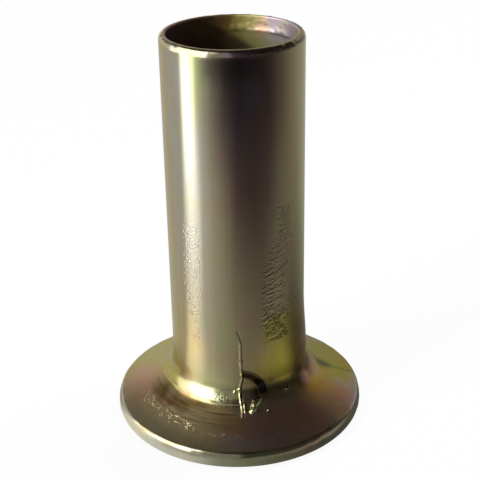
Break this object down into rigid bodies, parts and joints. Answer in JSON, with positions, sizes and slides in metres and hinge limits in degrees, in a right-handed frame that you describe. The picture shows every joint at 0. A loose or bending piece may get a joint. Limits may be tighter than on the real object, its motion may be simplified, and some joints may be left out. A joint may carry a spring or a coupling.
{
  "type": "hollow rivet",
  "caption": "Open tube with a broad, slightly conical pressed head at one end; it goes through a hole and its open end is flared over to clamp sheets together.",
  "frame": {"origin": "centre of the flat ring under the head, on which the rivet stands", "axes": "+Z along the tube towards its open end; the two joints of the gripping die left their fins on -Y and +Y, and the half with the thicker neck is on -X"},
  "size_m": [0.0188, 0.0188, 0.0293],
  "materials": {
    "plated_steel": "zinc plated and yellow chromated, satin, iridescent"
  },
  "bodies": {
    "root": {"rivet_body": "plated_steel"}
  },
  "joints": []
}
